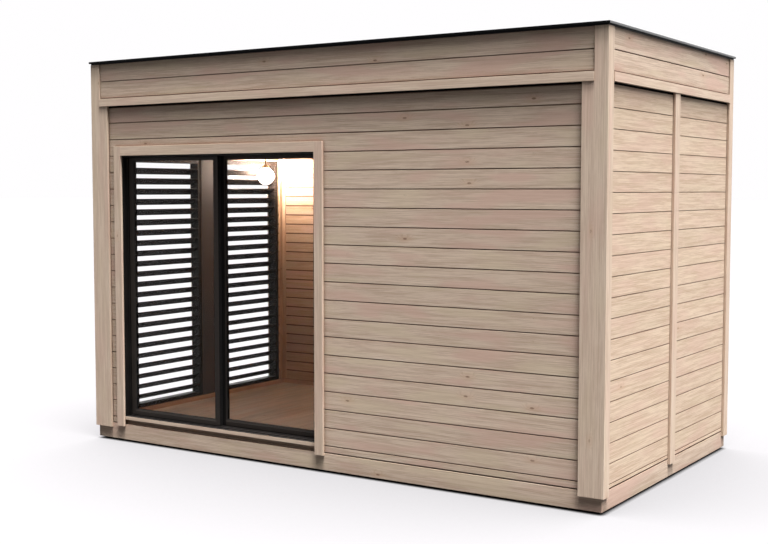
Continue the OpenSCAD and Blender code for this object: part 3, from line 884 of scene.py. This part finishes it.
# ---- roof
roofLook = {"sheet": 0.003, "lap": 0.08, "width": 0.86, "bend": 0.01, "bedEdge": 0.002, "hem": 0.004,
            "hemShare": 0.4, "recess": 0.012, "metal": 0.0012, "screw": 0.3, "screwSink": 0.0042}
coverLow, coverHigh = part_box("roof_cover")
edgeLow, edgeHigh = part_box("roof_edge_front_back")
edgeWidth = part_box("roof_edge_sides")[0].y - edgeLow.y
hemTop = edgeLow.z + (edgeHigh.z - edgeLow.z) * roofLook["hemShare"]
# the pale colour and its starting height are a painted sheen on the upper fold at the roof's ends
flashing = coatedMetal("coatedSteelFlashing", {"paint": "#060607", "worn": "#0f0f10", "paintedSheen": "#707071",
                                               "paintedSheenFrom": hemTop, "dust": 0.35, "peel": 0.003, "rough": 0.3,
                                               "gloss": 0.05})


def roofSheets():
    # felt laid from end to end of the roof, each run lapped over the one before
    lap, thick, bend = roofLook["lap"], roofLook["sheet"], roofLook["bend"]
    length, run = coverHigh.y - coverLow.y, coverHigh.x - coverLow.x - lap
    count = math.ceil(run / (roofLook["width"] - lap))
    pitch = run / count
    wide = pitch + lap
    outline = [(0, 0), (lap, 0), (lap + 3 * bend, -thick), (wide, -thick), (wide, -2 * thick),
               (lap + 2 * bend, -2 * thick), (lap - bend, -thick), (0, -thick)]
    outline = [(a, coverHigh.z + b) for a, b in outline]
    sheet = meshFrom("sheet", lambda s: addPrism(s, outline, 1, -length / 2, length / 2, 0))
    sheets = row("roof_sheets", sheet, felt, count, (coverLow.x, 0, 0), (pitch, 0, 0))
    bedTop = (coverHigh.x, coverHigh.y, coverHigh.z - 2.5 * thick)
    bed = addBuilt("roof_bed", lambda s: addBlock(s, coverLow, bedTop, roofLook["bedEdge"]))
    bed.data.materials.append(felt)
    return joined("roof_felt", [sheets, bed])


def roofFlashing(shape):
    # folded sheet over a batten: face with a drip hem, top with a slight fall, back edge down to the felt
    low, high, metal = edgeLow.z, edgeHigh.z, roofLook["metal"]
    hemFold, recess = hemTop + roofLook["hem"], roofLook["recess"]
    outline = [(0, high - metal), (0, hemTop), (metal, hemTop), (metal, hemFold), (recess, hemFold), (recess, low),
               (recess + metal, low), (edgeWidth - 0.012, low + 0.001), (edgeWidth, low + 0.001),
               (edgeWidth, low + 0.003), (edgeWidth - 0.010, low + 0.006), (edgeWidth - 0.012, high - 0.006),
               (edgeWidth - 0.016, high - 0.003), (0.0015, high)]
    addRing(shape, outline, edgeLow[:2], edgeHigh[:2], 2)


finishPiece(roofSheets(), None, "roof_membrane", ("roof_cover",))
finishPiece(addBuilt("roof_flashing", roofFlashing), flashing, "edge_metal",
            ("roof_edge_front_back", "roof_edge_sides"))

# a domed head on a washer
screwProfile = [(0, 0), (0.007, 0), (0.007, 0.0008), (0.0042, 0.0010), (0.0040, 0.0022), (0.0026, 0.0034),
                (0, 0.0038)]
screws = []
inset = edgeWidth / 2
for i, (axis, side) in enumerate(((0, -1), (0, 1), (1, -1), (1, 1))):
    span = edgeHigh[axis] - edgeLow[axis] - 2 * inset
    steps = round(span / roofLook["screw"])
    pitch = span / steps
    # the front and back rows take the corners, and the side rows stand between them
    first, count = (0, steps + 1) if axis == 0 else (pitch, steps - 1)
    across = edgeHigh[1 - axis] - inset if side > 0 else edgeLow[1 - axis] + inset
    start = placed(axis, edgeLow[axis] + inset + first, across, edgeHigh.z - roofLook["screwSink"])
    screw = meshFrom("screw", lambda s: addLathe(s, screwProfile, (0, 0, 0), 12))
    screws.append(row(f"screws_{i}", screw, flashing, count, start, placed(axis, pitch, 0, 0)))
finishPiece(joined("roof_screws", screws), None, "edge_metal")
print("roof ready")


# ---- sliding door
doorLook = {"edge": 0.0012, "bead": 0.008, "beadStep": 0.0025, "beadFall": 0.001, "gasket": 0.003,
            "gasketIn": 0.002, "gasketFall": 0.0005, "sheet": 0.004, "spacer": 0.004, "brush": 0.0015}
leafMiddle = (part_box("front_leaf_stiles")[1].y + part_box("rear_leaf_stiles")[0].y) / 2
for node in ("door_frame_jambs", "door_frame_head", "door_frame_sill"):
    finishPiece(softened("metal_" + node, node, doorLook["edge"]), frameMetalShaded, "dark_aluminium", (node,))


def leaf(name):
    low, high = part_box(name + "_stiles")
    paneLow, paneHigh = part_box(name + "_glass")
    step, brush, sheet = doorLook["beadStep"], doorLook["brush"], doorLook["sheet"]
    left, right = paneLow.x - doorLook["bead"], paneHigh.x + doorLook["bead"]
    bottom, top = paneLow.z - doorLook["bead"], paneHigh.z + doorLook["bead"]
    # the edge where this leaf meets the other one is set back for a black brush strip, which also stands in as
    # painted shade between the two leaves
    meetsRight = low.y < leafMiddle
    leftFace = low.y if meetsRight else low.y + brush
    rightEnd = high.x - brush if meetsRight else high.x

    def piece(ending, build, material, slot="dark_aluminium", nodes=()):
        finishPiece(addBuilt(name + ending, build), material, slot, nodes, body=name)

    def buildFrame(shape):
        for start, end in (((low.x, leftFace, low.z), (left, high.y, high.z)),
                           ((right, low.y, low.z), (rightEnd, high.y, high.z)),
                           ((left, low.y, low.z), (right, high.y, bottom)),
                           ((left, low.y, top), (right, high.y, high.z))):
            addBlock(shape, start, end, doorLook["edge"])
        bead, fall = doorLook["bead"], doorLook["beadFall"]
        outline = [(0, low.y + step), (bead, low.y + step + fall), (bead, high.y - step - fall), (0, high.y - step)]
        addRing(shape, outline, (left, bottom), (right, top), 1)

    def buildShadeBrush(shape):
        if meetsRight:
            addBlock(shape, (rightEnd, low.y + brush, low.z), high, brush / 4)
        else:
            addBlock(shape, low, (left, leftFace, high.z), brush / 4)

    def paneRing(shape, start, end, width, fall):
        addRing(shape, [(0, start), (width, start + fall), (width, end - fall), (0, end)],
                (paneLow.x, paneLow.z), (paneHigh.x, paneHigh.z), 1)

    def buildSeal(shape):
        bite = step + doorLook["gasketIn"]
        for start, end in ((low.y + bite, paneLow.y), (paneHigh.y, high.y - bite)):
            paneRing(shape, start, end, doorLook["gasket"], doorLook["gasketFall"])

    def buildPanes(shape):
        # the two sheets of a sealed unit
        for start in (paneLow.y, paneHigh.y - sheet):
            addBlock(shape, (paneLow.x, start, paneLow.z), (paneHigh.x, start + sheet, paneHigh.z), 0)

    piece("_frame", buildFrame, aluminium, nodes=(name + "_stiles", name + "_rails"))
    piece("_brush", buildShadeBrush, ventAndShadeCloth, "rubber_packer")
    piece("_seal", buildSeal, rubber)
    piece("_spacer", lambda s: paneRing(s, paneLow.y + sheet, paneHigh.y - sheet, doorLook["spacer"], 0), aluminium)
    piece("_panes", buildPanes, glass, "clear_glass", (name + "_glass",))


leaf("front_leaf")
leaf("rear_leaf")
print("door ready")


# ---- louvre windows
louvreLook = {"count": 23, "thick": 0.008, "slope": 36.0, "foot": 0.051, "head": 0.067, "edge": 0.0012,
              "gap": 0.003, "set": 0.0025, "overlap": 0.002, "paneEdge": 0.0005, "cover": 0.003, "coverEdge": 0.001}
unitLow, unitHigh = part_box("window_glass")


def bladeMesh(length, depth):
    # a flat blade with rolled edges, sloping down to the outside; depth is measured through the wall
    slope = math.radians(louvreLook["slope"])
    roll = louvreLook["thick"] / 2
    half = (depth / 2 - roll) / math.cos(slope)
    outline = []
    for side, turned in ((1, -90), (-1, 90)):
        for i in range(7):
            turn = math.radians(turned + 30 * i)
            along, up = side * half + roll * math.cos(turn), roll * math.sin(turn)
            outline.append((along * math.cos(slope) - up * math.sin(slope),
                            along * math.sin(slope) + up * math.cos(slope)))
    return meshFrom("blade", lambda s: addPrism(s, outline, 1, -length / 2, length / 2, 0))


def louvre(name, node, low, high):
    # gives back the box of the window's pane
    face = high.y - unitHigh.y if high.y > 0 else unitLow.y - low.y
    left, right, bottom, top = low.y + face, high.y - face, unitLow.z, unitHigh.z

    def build(shape):
        for start, end in ((low, (high.x, left, high.z)), ((low.x, right, low.z), high),
                           ((low.x, left, low.z), (high.x, right, bottom)),
                           ((low.x, left, top), (high.x, right, high.z))):
            addBlock(shape, start, end, louvreLook["edge"])
    surround = addBuilt(name + "_frame", build)
    surround.data.materials.append(aluminium)
    outer, inner = unitHigh.x + louvreLook["gap"], high.x - louvreLook["set"]
    pitch = (top - bottom - louvreLook["foot"] - louvreLook["head"]) / (louvreLook["count"] - 1)
    blade = bladeMesh(right - left + louvreLook["overlap"], inner - outer)
    start = ((outer + inner) / 2, (left + right) / 2, bottom + louvreLook["foot"])
    blades = row(name + "_blades", blade, aluminium, louvreLook["count"], start, (0, 0, pitch))
    finishPiece(joined(name, [surround, blades]), None, "dark_aluminium", (node,))
    return (unitLow.x, left, bottom), (unitHigh.x, right, top)


def mullionCover(shape):
    # a thin cover plate on the room's side of the wall between the two windows
    (low, high), rear = windows[0], windows[1][0]
    addBlock(shape, (innerX, high.y, low.z), (innerX + louvreLook["cover"], rear.y, high.z), louvreLook["coverEdge"])


def windowPanes(shape):
    for low, high in units:
        addBlock(shape, low, high, louvreLook["paneEdge"])


finishPiece(addBuilt("window_mullion_cover", mullionCover), paleMetal, "dark_aluminium")
units = [louvre("blinds_" + name, "louvre_" + name, *box) for name, box in zip(("front", "back"), windows)]
finishPiece(addBuilt("window_panes", windowPanes), glass, "clear_glass", ("window_glass",))
print("windows ready")


# ---- pendant lamp
lampAt = ((lampLow.x + lampHigh.x) / 2, (lampLow.y + lampHigh.y) / 2, lampLow.z + globe)
lampForm = {"neck": 0.028, "collar": 0.004, "steps": 24, "sink": 0.002, "segments": 32,
            "socket": [(0.032, 0), (0.032, 0.022), (0.026, 0.032), (0.010, 0.038), (0.006, 0.046)],
            "rose": [(0.006, -0.030), (0.012, -0.026), (0.048, -0.016), (0.052, -0.010), (0.052, 0)]}
neckTurn = math.asin(lampForm["neck"] / globe)


def lampGlobe(shape):
    turns = [(math.pi - neckTurn) * i / lampForm["steps"] for i in range(lampForm["steps"] + 1)]
    arc = [(globe * math.sin(turn), -globe * math.cos(turn)) for turn in turns]
    rim = arc[-1][1] + lampForm["collar"]
    addLathe(shape, arc + [(lampForm["neck"], rim), (0, rim)], lampAt)


def lampFitting(shape):
    # a socket on the globe's neck, a rod, and a rose under the ceiling
    start, top = globe * math.cos(neckTurn) - lampForm["sink"], ceilingLow - lampAt[2]
    profile = [(radius, start + up) for radius, up in lampForm["socket"]]
    profile += [(radius, top + up) for radius, up in lampForm["rose"]]
    addLathe(shape, [(0, start)] + profile + [(0, top)], lampAt, lampForm["segments"])


finishPiece(addBuilt("lamp_globe", lampGlobe), opal, "lamp_glass", ("pendant_lamp",))
finishPiece(addBuilt("lamp_fitting", lampFitting), lampMetal, "dark_aluminium")
print("lamp ready")
